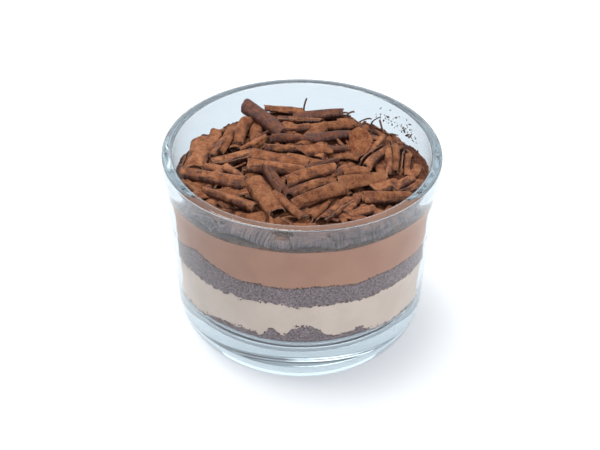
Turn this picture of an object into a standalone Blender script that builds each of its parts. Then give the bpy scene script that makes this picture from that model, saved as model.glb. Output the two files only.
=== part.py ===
"""Layered chocolate mousse dessert, built together with its clear glass cup.

From the bottom up the cup holds a cocoa sponge, vanilla cream, a second cocoa
sponge, chocolate mousse and a loose heap of chocolate curls.

Frame: metres, +Z up, the origin at the centre of the foot on the surface that the
cup stands on.
"""
import math
import random

import bmesh
import bpy

# Cup
RIM_RADIUS = 0.0425          # outermost radius, at the lip
CUP_HEIGHT = 0.0630
LIP_WIDTH = 0.0032           # across the top of the wall
LIP_HEIGHT = 0.0120          # from where the wall swells out up to the rim
LIP_BAND = 0.0015            # straight part of the lip under its rounded top
LIP_ROUND = 0.0009           # height of the rounded top
LIP_SQUARENESS = 0.70        # 1 is half an ellipse, less is flatter
WALL_TOP_RADIUS = 0.0416     # outer wall just under the lip
HEEL_TOP_RADIUS = 0.0395     # outer wall where the heel's curve starts
HEEL_TOP_HEIGHT = 0.0105
HEEL_POWER = 1.30            # 1 is a quarter ellipse, more is closer to a slant
FOOT_OUTER_RADIUS = 0.0320
FOOT_INNER_RADIUS = 0.0280
PUNT_DEPTH = 0.0015          # hollow under the foot
WALL_THICKNESS = 0.0028
FLOOR_HEIGHT = 0.0113        # top of the thick base
CORNER_RADIUS = 0.0100       # inside, between floor and wall
CUP_SEGMENTS = 60
PUNT_SHARES = (0.0, 0.5, 0.8, 0.95, 1.0)            # of the foot's inner radius
PUNT_POWER = 6               # high, so that the hollow is level nearly to the ring
HEEL_STEPS = 7
SWELL_SHARES = (0.0, 0.35, 0.65, 1.0)               # of the height of the lip's swelling
LIP_STEPS = 8
CORNER_STEPS = 8

# Contents: heights of the boundaries between the layers
GAP = 0.0003                 # clearance between solids that touch
CRUMB_TOP = 0.0213
CRUMB_FALL = 0.0020          # how far the bottom sponge thins at the wall, but in front
CRUMB_LUMP = ((0.002, -0.036), 0.0052, 0.0038)      # centre, width and height
FRONT_HEADING = math.radians(-97)
FRONT_SECTOR = (0.70, 0.85)  # cosines from that heading between which the front begins
CREAM_TOP = 0.0330
SPONGE_TOP = 0.0400
SPONGE_RISE = ((-0.027, -0.025), 0.0120, 0.0022)
WAVE_HEIGHT = 0.0004         # of the surfaces between the layers
WAVE_TURNS = (110.0, 90.0)   # radians for each metre, along X and Y
MOUSSE_TOP = 0.0526
MOUSSE_SLOPE_X = 0.006
MOUSSE_SLOPE_Y = -0.030
EDGE_THICKNESS = 0.0006      # least thickness of the bottom sponge at its edge
LAYER_SEGMENTS = 40
LAYER_RINGS = (0.30, 0.55, 0.74, 0.88, 1.0)
EDGE_POWER = 8               # high, so that the bottom sponge thins only at its edge

# Heap of curls
HEAP_EDGE_RISE = 0.0010      # above the mousse, against the wall
HEAP_CROWN_RISE = 0.0027     # above the mousse, under the topmost curls
HEAP_CENTRE_Y = -0.011       # the crown lies towards the front
HEAP_CELLS = 37              # across the heap, each way
CURL_COUNT = 46
CURL_REACH = 0.034           # farthest centre of a curl from the cup's axis
CURL_RADIUS = 0.0026
CURL_LENGTH = 0.0170
CURL_VARIATION = (0.7, 1.1)  # times the length and the radius above
CURL_SEED = 19
LEANING_CURL = (-0.0120, 0.0295, -0.75, 0.0140, 0.0029, 0.0019)   # as in scatter_curls

# Meshes
SHARP_ANGLE = math.radians(40)
MERGE_DISTANCE = 1e-6
FLATNESS = 0.1               # in the units of a puck, one high


def clear_scene():
    """Remove every object, so that only the part is left."""
    for item in list(bpy.data.objects):
        bpy.data.objects.remove(item, do_unlink=True)


def make_material(name, colour, roughness, transmission=0.0):
    """Principled material with a flat linear colour; none of the pieces is metal."""
    material = bpy.data.materials.new(name)
    material.use_nodes = True
    shader = material.node_tree.nodes["Principled BSDF"]
    shader.inputs["Base Color"].default_value = (*colour, 1.0)
    shader.inputs["Roughness"].default_value = roughness
    shader.inputs["Metallic"].default_value = 0.0
    shader.inputs["Transmission Weight"].default_value = transmission
    return material


def add_object(name, bm, material):
    """Close the bmesh into an object with smooth faces and sharp edges."""
    bmesh.ops.recalc_face_normals(bm, faces=bm.faces)
    mesh = bpy.data.meshes.new(name)
    bm.to_mesh(mesh)
    bm.free()
    mesh.materials.append(material)
    mesh.shade_smooth()
    mesh.set_sharp_from_angle(angle=SHARP_ANGLE)
    piece = bpy.data.objects.new(name, mesh)
    bpy.context.scene.collection.objects.link(piece)
    return piece


def turn(profile, segments):
    """Spin a list of (radius, height) points, from axis to axis, into a closed bmesh."""
    bm = bmesh.new()
    points = [bm.verts.new((radius, 0.0, height)) for radius, height in profile]
    edges = [bm.edges.new(pair) for pair in zip(points, points[1:])]
    bmesh.ops.spin(bm, geom=points + edges, cent=(0, 0, 0), axis=(0, 0, 1),
                   angle=math.tau, steps=segments, use_merge=True)
    bmesh.ops.remove_doubles(bm, verts=bm.verts, dist=MERGE_DISTANCE)
    return bm


def outer_wall_radius(height):
    """Outer radius of the wall, straight from the heel's top to under the lip."""
    share = (height - HEEL_TOP_HEIGHT) / (CUP_HEIGHT - LIP_HEIGHT - HEEL_TOP_HEIGHT)
    return HEEL_TOP_RADIUS + (WALL_TOP_RADIUS - HEEL_TOP_RADIUS) * share


def corner_centre_radius():
    """Radius of the centre line of the rounded corner between floor and wall."""
    return outer_wall_radius(FLOOR_HEIGHT + CORNER_RADIUS) - WALL_THICKNESS - CORNER_RADIUS


def inner_radius(height, clearance=0.0):
    """Radius of the cup's inside at a height, less a clearance kept to the glass."""
    drop = FLOOR_HEIGHT + CORNER_RADIUS - height
    if drop <= 0:
        return outer_wall_radius(height) - WALL_THICKNESS - clearance
    reach = CORNER_RADIUS - clearance
    return corner_centre_radius() + math.sqrt(max(reach ** 2 - drop ** 2, 0.0))


def floor_height(radius, clearance=0.0):
    """Height of the cup's inside at a radius, plus a clearance kept to the glass."""
    along = radius - corner_centre_radius()
    if along <= 0:
        return FLOOR_HEIGHT + clearance
    reach = CORNER_RADIUS - clearance
    return FLOOR_HEIGHT + CORNER_RADIUS - math.sqrt(max(reach ** 2 - along ** 2, 0.0))


def arc_steps(start, end, count):
    """Angles in radians from start to end degrees, both included."""
    return [math.radians(start + (end - start) * step / count) for step in range(count + 1)]


def underside_profile():
    """Foot from the centre of the punt out to the edge of the standing ring: level, then
    falling off ever steeper to the ring."""
    return [(FOOT_INNER_RADIUS * share, PUNT_DEPTH * math.sqrt(1 - share ** PUNT_POWER))
            for share in PUNT_SHARES]


def heel_profile():
    """Curve that rolls up from the standing ring into the wall."""
    points = []
    for angle in arc_steps(0, 90, HEEL_STEPS):
        outward = math.sin(angle) ** HEEL_POWER
        upward = 1 - math.cos(angle) ** HEEL_POWER
        points.append((FOOT_OUTER_RADIUS + (HEEL_TOP_RADIUS - FOOT_OUTER_RADIUS) * outward,
                       HEEL_TOP_HEIGHT * upward))
    return points


def lip_profile():
    """Lip from the wall's swelling over the flat, rounded top to its inner side."""
    low = CUP_HEIGHT - LIP_HEIGHT
    high = CUP_HEIGHT - LIP_ROUND - LIP_BAND
    points = []
    for share in SWELL_SHARES:
        height = low + share * (high - low)
        gain = (1 - math.cos(math.pi * share)) / 2
        wall = outer_wall_radius(height)
        points.append((wall + (RIM_RADIUS - wall) * gain, height))
    for angle in arc_steps(0, 180, LIP_STEPS):
        inward = 1 - math.copysign(abs(math.cos(angle)) ** LIP_SQUARENESS, math.cos(angle))
        lowered = 1 - max(math.sin(angle), 0.0) ** LIP_SQUARENESS
        points.append((RIM_RADIUS - LIP_WIDTH / 2 * inward, CUP_HEIGHT - LIP_ROUND * lowered))
    return points


def inside_profile():
    """Inner wall down to the rounded corner and in to the floor's centre."""
    points = []
    for angle in arc_steps(0, 90, CORNER_STEPS):
        points.append((corner_centre_radius() + CORNER_RADIUS * math.cos(angle),
                       FLOOR_HEIGHT + CORNER_RADIUS * (1 - math.sin(angle))))
    points.append((0.0, FLOOR_HEIGHT))
    return points


def build_glass(material):
    """Thick-based clear cup, turned in one piece."""
    profile = underside_profile() + heel_profile() + lip_profile() + inside_profile()
    return add_object("glass", turn(profile, CUP_SEGMENTS), material)


def frontness(x, y):
    """1 in front, where the bottom sponge is pressed to the wall, falling to 0 elsewhere."""
    start, end = FRONT_SECTOR
    towards = math.cos(math.atan2(y, x) - FRONT_HEADING)
    return min(max((towards - start) / (end - start), 0.0), 1.0)


def bump(x, y, centre, width, height):
    """Smooth round hump on a surface."""
    square = ((x - centre[0]) ** 2 + (y - centre[1]) ** 2) / width ** 2
    return height * math.exp(-square)


def wave(x, y, phase):
    """Unevenness of a spooned surface, in rounded hills and hollows."""
    return WAVE_HEIGHT * math.sin(WAVE_TURNS[0] * x + phase) * math.cos(WAVE_TURNS[1] * y)


def crumb_top(x, y):
    """Top of the bottom sponge: a torn disc with a lump, thin at the wall but in front."""
    edge = min((math.hypot(x, y) / inner_radius(CRUMB_TOP)) ** EDGE_POWER, 1.0)
    fall = CRUMB_FALL * edge * (1 - frontness(x, y))
    return CRUMB_TOP + wave(x, y, 1.0) + bump(x, y, *CRUMB_LUMP) - fall


def cream_top(x, y):
    """Top of the vanilla cream, nearly level."""
    return CREAM_TOP + wave(x, y, 0.0)


def sponge_top(x, y):
    """Top of the middle sponge, which rises at the front left."""
    return SPONGE_TOP + bump(x, y, *SPONGE_RISE) + wave(x, y, 2.0)


def mousse_top(x, y):
    """Top of the mousse, a plane that falls a little from the front to the back."""
    return MOUSSE_TOP + MOUSSE_SLOPE_X * x + MOUSSE_SLOPE_Y * y


def puck(rings, segments):
    """Disc one unit high and one unit in radius, with rings on both faces.

    Its quads are split so that the lower face of one layer matches the upper face of
    the layer below, triangle by triangle."""
    lower = [(0.0, 0.0)] + [(share, 0.0) for share in rings]
    upper = [(share, 1.0) for share in reversed(rings)] + [(0.0, 1.0)]
    bm = turn(lower + upper, segments)
    for level, split in ((0.0, "ALTERNATE"), (1.0, "FIXED")):
        faces = [face for face in bm.faces
                 if math.isclose(face.calc_center_median().z, level, abs_tol=FLATNESS)]
        bmesh.ops.triangulate(bm, faces=faces, quad_method=split)
    return bm


def build_layer(name, under, over, material):
    """Layer between two surfaces, reaching to the glass less the gap.

    under and over give the surface heights at (x, y); under None is the cup's floor."""
    bm = puck(LAYER_RINGS, LAYER_SEGMENTS)
    for vert in bm.verts:
        share = math.hypot(vert.co.x, vert.co.y)
        angle = math.atan2(vert.co.y, vert.co.x)
        reach = inner_radius(MOUSSE_TOP)
        spot = (share * reach * math.cos(angle), share * reach * math.sin(angle))
        is_upper = vert.co.z > 0.5
        if is_upper:
            height = over(*spot)
            radius = share * inner_radius(height, GAP)
        elif under is not None:
            height = under(*spot) + GAP
            radius = share * inner_radius(height, GAP)
        else:
            rim = over(reach * math.cos(angle), reach * math.sin(angle)) - EDGE_THICKNESS
            radius = share * inner_radius(rim, GAP)
            height = floor_height(radius, GAP)
        vert.co = (radius * math.cos(angle), radius * math.sin(angle), height)
    return add_object(name, bm, material)


def scatter_curls():
    """Curls as (x, y, heading, length, radius, lift), drawn at random over the heap."""
    draw = random.Random(CURL_SEED)
    curls = [LEANING_CURL]
    for _ in range(CURL_COUNT):
        distance = CURL_REACH * math.sqrt(draw.random())
        around = draw.uniform(0, math.tau)
        curls.append((distance * math.cos(around), distance * math.sin(around),
                      draw.uniform(0, math.pi), CURL_LENGTH * draw.uniform(*CURL_VARIATION),
                      CURL_RADIUS * draw.uniform(*CURL_VARIATION), 0.0))
    return curls


def curl_height(x, y, curl):
    """Height that a curl adds at (x, y): half a round rod with blunt ends, on its lift."""
    centre_x, centre_y, heading, length, radius, lift = curl
    along = (x - centre_x) * math.cos(heading) + (y - centre_y) * math.sin(heading)
    across = (y - centre_y) * math.cos(heading) - (x - centre_x) * math.sin(heading)
    if abs(along) > length / 2 or abs(across) > radius:
        return 0.0
    return lift + math.sqrt(radius ** 2 - across ** 2)


def heap_top(x, y, curls):
    """Outline of the heap: a low mound towards the front, ridged by its curls."""
    radius = math.hypot(x, y - HEAP_CENTRE_Y) / (RIM_RADIUS - HEAP_CENTRE_Y)
    rise = HEAP_EDGE_RISE + (HEAP_CROWN_RISE - HEAP_EDGE_RISE) * max(1 - radius ** 2, 0.0)
    ridge = max(curl_height(x, y, curl) for curl in curls)
    return mousse_top(x, y) + rise + ridge


def build_heap(material):
    """Heap of curls as one solid out to its uneven outline.

    A square grid is bent into a disc, raised to the outline and closed underneath."""
    bm = bmesh.new()
    bmesh.ops.create_grid(bm, x_segments=HEAP_CELLS, y_segments=HEAP_CELLS, size=1.0)
    curls = scatter_curls()
    reach = inner_radius(MOUSSE_TOP, GAP)
    for vert in bm.verts:
        x = vert.co.x * math.sqrt(1 - vert.co.y ** 2 / 2) * reach
        y = vert.co.y * math.sqrt(1 - vert.co.x ** 2 / 2) * reach
        vert.co = (x, y, heap_top(x, y, curls))
    rim = [edge for edge in bm.edges if edge.is_boundary]
    skirt = bmesh.ops.extrude_edge_only(bm, edges=rim)["geom"]
    for vert in skirt:
        if isinstance(vert, bmesh.types.BMVert):
            vert.co.z = mousse_top(vert.co.x, vert.co.y) + GAP
    bmesh.ops.contextual_create(bm, geom=[edge for edge in bm.edges if edge.is_boundary])
    return add_object("curl_heap", bm, material)


def build_part():
    """Build the cup and everything in it, from the bottom up."""
    clear_scene()
    glass = make_material("clear soda glass", (0.79, 0.86, 0.88), 0.03, transmission=1.0)
    cocoa_sponge = make_material("cocoa sponge", (0.060, 0.036, 0.030), 0.9)
    vanilla_cream = make_material("vanilla cream", (0.60, 0.50, 0.40), 0.5)
    mousse = make_material("chocolate mousse", (0.27, 0.135, 0.085), 0.6)
    chocolate = make_material("cocoa-dusted chocolate", (0.22, 0.085, 0.035), 0.75)
    build_glass(glass)
    build_layer("crumb_base", None, crumb_top, cocoa_sponge)
    build_layer("cream", crumb_top, cream_top, vanilla_cream)
    build_layer("sponge", cream_top, sponge_top, cocoa_sponge)
    build_layer("mousse", sponge_top, mousse_top, mousse)
    build_heap(chocolate)


build_part()
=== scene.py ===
# %% [markdown]
# # A layered chocolate mousse dessert in its glass cup
# The cup is pressed soda glass, clear, with a thick base. Inside lie a cocoa sponge,
# vanilla cream, a second sponge and chocolate mousse, under a loose heap of chocolate
# curls dusted with cocoa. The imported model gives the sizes. This lesson gives each
# piece its fine surface and its finish.

import bpy
import numpy as np
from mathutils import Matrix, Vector


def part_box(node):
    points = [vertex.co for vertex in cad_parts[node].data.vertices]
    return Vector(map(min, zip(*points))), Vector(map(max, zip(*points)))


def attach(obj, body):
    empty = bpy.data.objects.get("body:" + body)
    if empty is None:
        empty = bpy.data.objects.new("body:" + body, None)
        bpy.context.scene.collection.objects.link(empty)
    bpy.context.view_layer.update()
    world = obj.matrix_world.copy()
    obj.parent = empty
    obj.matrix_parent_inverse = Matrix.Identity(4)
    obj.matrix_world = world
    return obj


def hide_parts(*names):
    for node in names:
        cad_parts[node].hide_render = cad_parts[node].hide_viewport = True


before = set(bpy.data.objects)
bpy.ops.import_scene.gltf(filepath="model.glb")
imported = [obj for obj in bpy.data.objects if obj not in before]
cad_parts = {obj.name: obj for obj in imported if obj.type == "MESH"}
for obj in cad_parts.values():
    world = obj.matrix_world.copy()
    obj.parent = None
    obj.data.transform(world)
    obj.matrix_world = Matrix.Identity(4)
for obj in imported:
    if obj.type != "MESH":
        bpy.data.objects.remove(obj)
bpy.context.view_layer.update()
MM = 0.001
print("the packed nodes are", ", ".join(sorted(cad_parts)))

# %% [markdown]
# ## Sizes
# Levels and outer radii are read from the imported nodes. The rest are the glass's own
# sizes: wall, lip, heel, standing ring and the rounded inside corner.

# %% Read the sizes of the cup and the levels of its layers


def node_points(name):
    """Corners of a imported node's mesh as an array of (x, y, z) rows."""
    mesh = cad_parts[name].data
    points = np.empty(len(mesh.vertices) * 3)
    mesh.vertices.foreach_get("co", points)
    return points.reshape(-1, 3)


def top_level(name):
    """Middle height of the upper surface of a layer: the median of its upper corners."""
    heights = node_points(name)[:, 2]
    return float(np.median(heights[heights > heights.mean()]))


CUP_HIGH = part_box("glass")[1]
RIM_RADIUS = CUP_HIGH.x
CUP_HEIGHT = CUP_HIGH.z
GAP = 0.3 * MM
WALL = 2.8 * MM
LIP_WIDTH = 3.2 * MM
LIP_HEIGHT = 12.0 * MM
LIP_BAND = 1.5 * MM
LIP_ROUND = 0.9 * MM
LIP_SQUARE = 0.7
LIP_OVERHANG = 0.9 * MM
HEEL_HEIGHT = 10.5 * MM
HEEL_POWER = 1.30
FOOT_RADIUS = 32.0 * MM
FOOT_RING = 4.0 * MM
PUNT_DEPTH = 1.5 * MM
CORNER = 10.0 * MM
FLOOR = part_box("crumb_base")[0].z - GAP
MOUSSE_TOP = top_level("mousse")
SPONGE_TOP = top_level("sponge")
CREAM_TOP = top_level("cream")
CRUMB_TOP = top_level("crumb_base")
WALL_TOP_RADIUS = RIM_RADIUS - LIP_OVERHANG
INSIDE_AT_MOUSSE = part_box("mousse")[1].x + GAP
print("floor %.1f, levels %.1f %.1f %.1f %.1f mm" % tuple(
    1000 * level for level in (FLOOR, CRUMB_TOP, CREAM_TOP, SPONGE_TOP, MOUSSE_TOP)))

# %% [markdown]
# ## Helpers
# Every surface here is a grid of points worked out with numpy. Two helpers turn such
# arrays into a mesh, and one gives smooth random relief without any image.

# %% Grids, meshes and smooth random relief


def grid_faces(rows, columns, closed):
    """Quads between neighbouring rows of a grid; a closed grid joins its last column to
    its first. They face outwards where the rows rise and the columns turn to the left."""
    row = np.arange(rows - 1)[:, None] * columns
    column = np.arange(columns if closed else columns - 1)[None, :]
    right = (column + 1) % columns
    return np.stack([row + column, row + right, row + columns + right,
                     row + columns + column], axis=-1).reshape(-1, 4)


def link_object(name, data):
    """New object with the given data, linked to the scene."""
    made = bpy.data.objects.new(name, data)
    bpy.context.scene.collection.objects.link(made)
    return made


def make_piece(name, points, face_sets, material, replaced=None):
    """Mesh object from an array of points and arrays of faces, shaded smooth, riding on
    the part's one body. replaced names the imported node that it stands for."""
    corners = np.concatenate([faces.ravel() for faces in face_sets])
    sizes = np.concatenate([np.full(len(faces), faces.shape[1]) for faces in face_sets])
    mesh = bpy.data.meshes.new(name)
    mesh.vertices.add(len(points))
    mesh.vertices.foreach_set("co", np.ascontiguousarray(points, np.float32).ravel())
    mesh.loops.add(len(corners))
    mesh.loops.foreach_set("vertex_index", corners.astype(np.int32))
    mesh.polygons.add(len(sizes))
    starts = np.concatenate([[0], np.cumsum(sizes)[:-1]])
    mesh.polygons.foreach_set("loop_start", starts.astype(np.int32))
    mesh.update(calc_edges=True)
    mesh.shade_smooth()
    mesh.materials.append(material)
    piece = link_object(name, mesh)
    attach(piece, "root")
    if replaced:
        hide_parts(replaced)
    print(name, "has", int((sizes - 2).sum()), "triangles")
    return piece


def lathe_faces(rings, columns):
    """Faces of a turned surface whose points are: first pole, rings in order, last pole."""
    quads = grid_faces(rings, columns, closed=True) + 1
    column = np.arange(columns)
    right = (column + 1) % columns
    last = 1 + rings * columns
    first_fan = np.stack([np.zeros_like(column), 1 + right, 1 + column], axis=-1)
    top_ring = 1 + (rings - 1) * columns
    last_fan = np.stack([top_ring + column, top_ring + right,
                         np.full_like(column, last)], axis=-1)
    return quads, first_fan, last_fan


def relief(points, size, seed, waves=24):
    """Smooth random value at each point, about -2 to 2: the sum of sine waves with drawn
    directions and phases, whose lengths lie between 0.6 and 1.5 times size."""
    draw = np.random.default_rng(seed)
    direction = draw.normal(size=(waves, 3))
    direction /= np.linalg.norm(direction, axis=1, keepdims=True)
    length = size * draw.uniform(0.6, 1.5, waves)
    phase = draw.uniform(0, 2 * np.pi, waves)
    turns = points @ (direction / length[:, None]).T
    return np.sin(2 * np.pi * turns + phase).sum(axis=-1) * np.sqrt(2 / waves)


def set_attribute(piece, name, kind, values):
    """Store one value or vector for each point of a piece, for its material to read."""
    layer = piece.data.attributes.new(name, kind, "POINT")
    field = "vector" if kind == "FLOAT_VECTOR" else "value"
    layer.data.foreach_set(field, np.ascontiguousarray(values, np.float32).ravel())


# %% [markdown]
# ## The first finish: helpers for materials
# A material is a small graph of nodes. One function adds a node, sets it up and links
# it; the others are short names for what every food needs. Colours are written as sRGB
# hex, and one function turns them into the renderer's linear values.

# %% Colours and nodes


def linear(hex_colour):
    """Linear RGBA of an sRGB hex colour, by the standard's two-part curve."""
    channels = np.array([int(hex_colour[place:place + 2], 16) for place in (1, 3, 5)]) / 255
    low = channels / 12.92
    high = ((channels + 0.055) / 1.055) ** 2.4
    return (*np.where(channels <= 0.04045, low, high).tolist(), 1.0)


def per_mm(size_mm):
    """Scale of a noise whose features are about size_mm wide, on coordinates in metres."""
    return 1000.0 / size_mm


def add_node(tree, kind, inputs=None, **settings):
    """Add a node, set its settings, and set or link each of its inputs.

    inputs maps an input's name or number to a value, or to the socket that feeds it."""
    made = tree.nodes.new(kind)
    for key, value in settings.items():
        setattr(made, key, value)
    for key, value in (inputs or {}).items():
        if isinstance(value, bpy.types.NodeSocket):
            tree.links.new(value, made.inputs[key])
        else:
            made.inputs[key].default_value = value
    return made


def new_material(name):
    """Material with an empty graph; returns it and its node tree."""
    material = bpy.data.materials.new(name)
    material.use_nodes = True
    material.node_tree.nodes.clear()
    print("made", name)
    return material, material.node_tree


def blend_colours(tree, share, first, second):
    """Colour that runs from first to second as share goes from 0 to 1."""
    mix = add_node(tree, "ShaderNodeMix", {0: share, 6: first, 7: second}, data_type="RGBA")
    return mix.outputs[2]


def stretch(tree, value, low, high):
    """Value clamped and stretched so that low becomes 0 and high becomes 1."""
    spread = add_node(tree, "ShaderNodeMapRange",
                      {"Value": value, "From Min": low, "From Max": high},
                      interpolation_type="SMOOTHSTEP")
    return spread.outputs["Result"]


def between(tree, share, low, high):
    """Value that runs from low to high as share goes from 0 to 1."""
    spread = add_node(tree, "ShaderNodeMapRange",
                      {"Value": share, "To Min": low, "To Max": high})
    return spread.outputs["Result"]


def object_place(tree):
    """Coordinates in metres that stay with the piece."""
    return add_node(tree, "ShaderNodeTexCoord").outputs["Object"]


def noise(tree, place, size_mm, detail, roughness=0.5):
    """Random pattern from 0 to 1 whose features are about size_mm wide."""
    made = add_node(tree, "ShaderNodeTexNoise", {
        "Vector": place, "Scale": per_mm(size_mm), "Detail": detail, "Roughness": roughness})
    return made.outputs["Fac"]


def added(tree, first, second):
    """Sum of two values."""
    return add_node(tree, "ShaderNodeMath", {0: first, 1: second}, operation="ADD").outputs[0]


def bumped(tree, height, strength, depth, beneath=None):
    """Normal of a surface that rises by depth where height is 1, on another if given."""
    inputs = {"Height": height, "Strength": strength, "Distance": depth}
    if beneath is not None:
        inputs["Normal"] = beneath
    return add_node(tree, "ShaderNodeBump", inputs).outputs["Normal"]


def close_graph(tree, inputs):
    """End a graph with one Principled surface."""
    surface = add_node(tree, "ShaderNodeBsdfPrincipled", inputs)
    add_node(tree, "ShaderNodeOutputMaterial", {"Surface": surface.outputs[0]})


# %% [markdown]
# ## The glass
# Soda glass is faintly green-blue, which shows where the eye looks along a thickness:
# at the lip and in the base. Refraction is physical here, with the usual IOR of 1.52.
# Pressed glass is never quite flat, so a weak, wide waviness bends what lies behind it.
# A real cup lets light through to its contents; a renderer finds that light only by
# luck, so for shadow rays the glass is a pale clear film.

# %% Material: pressed soda glass


def soda_glass():
    """Clear glass with a faint blue-green body and the waviness of a pressed wall."""
    material, tree = new_material("pressed soda glass")
    wave = noise(tree, object_place(tree), 14, 1.0)
    glass = add_node(tree, "ShaderNodeBsdfPrincipled", {
        "Base Color": linear("#D2DCE2"), "Roughness": 0.012, "IOR": 1.52,
        "Transmission Weight": 1.0, "Normal": bumped(tree, wave, 0.03, 0.15 * MM)})
    film = add_node(tree, "ShaderNodeBsdfTransparent", {"Color": linear("#F4F8FA")})
    path = add_node(tree, "ShaderNodeLightPath")
    soft = add_node(tree, "ShaderNodeMath", {0: path.outputs["Is Shadow Ray"],
                                             1: path.outputs["Is Diffuse Ray"]},
                    operation="MAXIMUM")
    surface = add_node(tree, "ShaderNodeMixShader", {0: soft.outputs[0], 1: glass.outputs[0],
                                                     2: film.outputs[0]})
    body = add_node(tree, "ShaderNodeVolumeAbsorption",
                    {"Color": linear("#B4C8CF"), "Density": 7.0})
    add_node(tree, "ShaderNodeOutputMaterial",
             {"Surface": surface.outputs[0], "Volume": body.outputs[0]})
    return material


GLASS = soda_glass()

# %% [markdown]
# ## The cup
# A pressed cup is a turned shape: one outline, spun about its axis. The outline runs
# from the middle of the underside, over the standing ring and the rounded heel, up the
# wall, over the flat, rounded lip, down the inside and across the floor. It could be a
# Screw modifier, but an array keeps every radius exact where the food meets the wall.

# %% The cup's outline


def outer_radius(height):
    """Outer wall: a straight taper from the heel's top to under the lip."""
    inside_top = INSIDE_AT_MOUSSE + WALL
    slope = (WALL_TOP_RADIUS - inside_top) / (CUP_HEIGHT - LIP_HEIGHT - MOUSSE_TOP)
    return inside_top + slope * (np.asarray(height) - MOUSSE_TOP)


CORNER_CENTRE = float(outer_radius(FLOOR + CORNER)) - WALL - CORNER


def inside_radius(height, reach=0.0):
    """Radius of the inside at a height: the wall, or below it the corner's quarter
    circle. reach goes that far into the glass."""
    wall = outer_radius(height) - WALL + reach
    drop = np.clip(FLOOR + CORNER - np.asarray(height), 0, CORNER + reach)
    corner = CORNER_CENTRE + np.sqrt((CORNER + reach) ** 2 - drop ** 2)
    return np.where(drop > 0, corner, wall)


def floor_level(radius, reach=0.0):
    """Height of the inside at a radius: level, then the corner's quarter circle."""
    along = np.clip(np.asarray(radius) - CORNER_CENTRE, 0, CORNER + reach)
    return FLOOR + CORNER - np.sqrt((CORNER + reach) ** 2 - along ** 2)


def arc(start, end, count):
    """Angles in radians between two angles in degrees."""
    return np.radians(np.linspace(start, end, count))


def cup_outline():
    """Outline as (radius, height) rows, from the underside's middle to the floor's."""
    punt_edge = FOOT_RADIUS - FOOT_RING
    share = np.linspace(0.0, 1.0, 24)
    punt = np.stack([punt_edge * share, PUNT_DEPTH * (1 - share ** 6) ** 0.5], axis=1)
    turn = arc(0, 90, 40)
    heel_top = float(outer_radius(HEEL_HEIGHT))
    heel = np.stack([FOOT_RADIUS + (heel_top - FOOT_RADIUS) * np.sin(turn) ** HEEL_POWER,
                     HEEL_HEIGHT * (1 - np.cos(turn) ** HEEL_POWER)], axis=1)
    lip_bottom = CUP_HEIGHT - LIP_HEIGHT
    rise = np.linspace(HEEL_HEIGHT, lip_bottom, 30)[1:-1]
    wall = np.stack([outer_radius(rise), rise], axis=1)
    share = np.linspace(0.0, 1.0, 16)
    swell = lip_bottom + share * (LIP_HEIGHT - LIP_ROUND - LIP_BAND)
    gain = (1 - np.cos(np.pi * share)) / 2
    lip = np.stack([outer_radius(swell) + (RIM_RADIUS - outer_radius(swell)) * gain,
                    swell], axis=1)
    turn = arc(0, 180, 40)
    across = np.sign(np.cos(turn)) * np.abs(np.cos(turn)) ** LIP_SQUARE
    top = np.stack([RIM_RADIUS - LIP_WIDTH / 2 * (1 - across),
                    CUP_HEIGHT - LIP_ROUND * (1 - np.sin(turn) ** LIP_SQUARE)], axis=1)
    fall = np.linspace(CUP_HEIGHT - LIP_ROUND, FLOOR + CORNER, 34)[1:]
    inside = np.stack([inside_radius(fall), fall], axis=1)
    bend = arc(0, 90, 24)[1:]
    corner = np.stack([CORNER_CENTRE + CORNER * np.cos(bend),
                       FLOOR + CORNER * (1 - np.sin(bend))], axis=1)
    across = CORNER_CENTRE * np.linspace(1.0, 0.0, 12)[1:]
    floor = np.stack([across, np.full_like(across, FLOOR)], axis=1)
    return np.concatenate([punt, heel, wall, lip, top, inside, corner, floor])


def turned(outline, columns):
    """Points of an outline, from axis to axis, spun about +Z, as lathe_faces wants them."""
    angle = np.linspace(0, 2 * np.pi, columns, endpoint=False)
    radius, height = outline[1:-1, 0:1], outline[1:-1, 1:2]
    rings = np.stack([radius * np.cos(angle), radius * np.sin(angle),
                      np.broadcast_to(height, (len(radius), columns))], axis=-1)
    poles = [[(0.0, 0.0, outline[0, 1])], [(0.0, 0.0, outline[-1, 1])]]
    return np.concatenate([poles[0], rings.reshape(-1, 3), poles[1]])


# %% Spin the cup
CUP_COLUMNS = 300
outline = cup_outline()
make_piece("cup", turned(outline, CUP_COLUMNS), lathe_faces(len(outline) - 2, CUP_COLUMNS),
           GLASS, "glass")
print("the cup is %.1f mm across and %.1f mm high" % (2000 * RIM_RADIUS, 1000 * CUP_HEIGHT))

# %% [markdown]
# ## The layers
# Each layer is spooned in and pressed against the glass, so its side is as smooth as
# the wall, and only the line between two layers is ragged. Crumb makes a torn line
# with grains a millimetre wide; cream and mousse make soft ones. Both neighbours share
# one surface, and the crumbly one reaches a hair further. In front the layers reach just
# into the glass. At the sides and behind they end a thin film of air short of it, and
# the wall there mirrors the light.

# %% The surfaces between the layers


def hump(points, centre, width, height):
    """Round hump over a place: the bell exp(-(d / width) ** 3), a little flat on top."""
    distance = np.hypot(points[..., 0] - centre[0], points[..., 1] - centre[1])
    return height * np.exp(-(distance / width) ** 3)


def flat(points):
    """The same points with their height set to nothing, so that relief follows a plan."""
    return points * np.array([1.0, 1.0, 0.0])


FRONT_ANGLE = np.radians(-97)
FRONT_SECTOR = (0.70, 0.85)
CRUMB_HUMPS = (((0.0015, -0.0385), 5.2 * MM, 4.4 * MM),
               ((-0.0080, -0.0375), 1.9 * MM, 2.8 * MM),
               ((0.0175, -0.0340), 1.8 * MM, 1.6 * MM))
SPONGE_HUMPS = (((-0.0275, -0.0265), 9 * MM, 2.4 * MM),
                ((0.021, -0.0320), 4 * MM, 0.9 * MM))
CRUMB_FALL = 2.3 * MM


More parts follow.
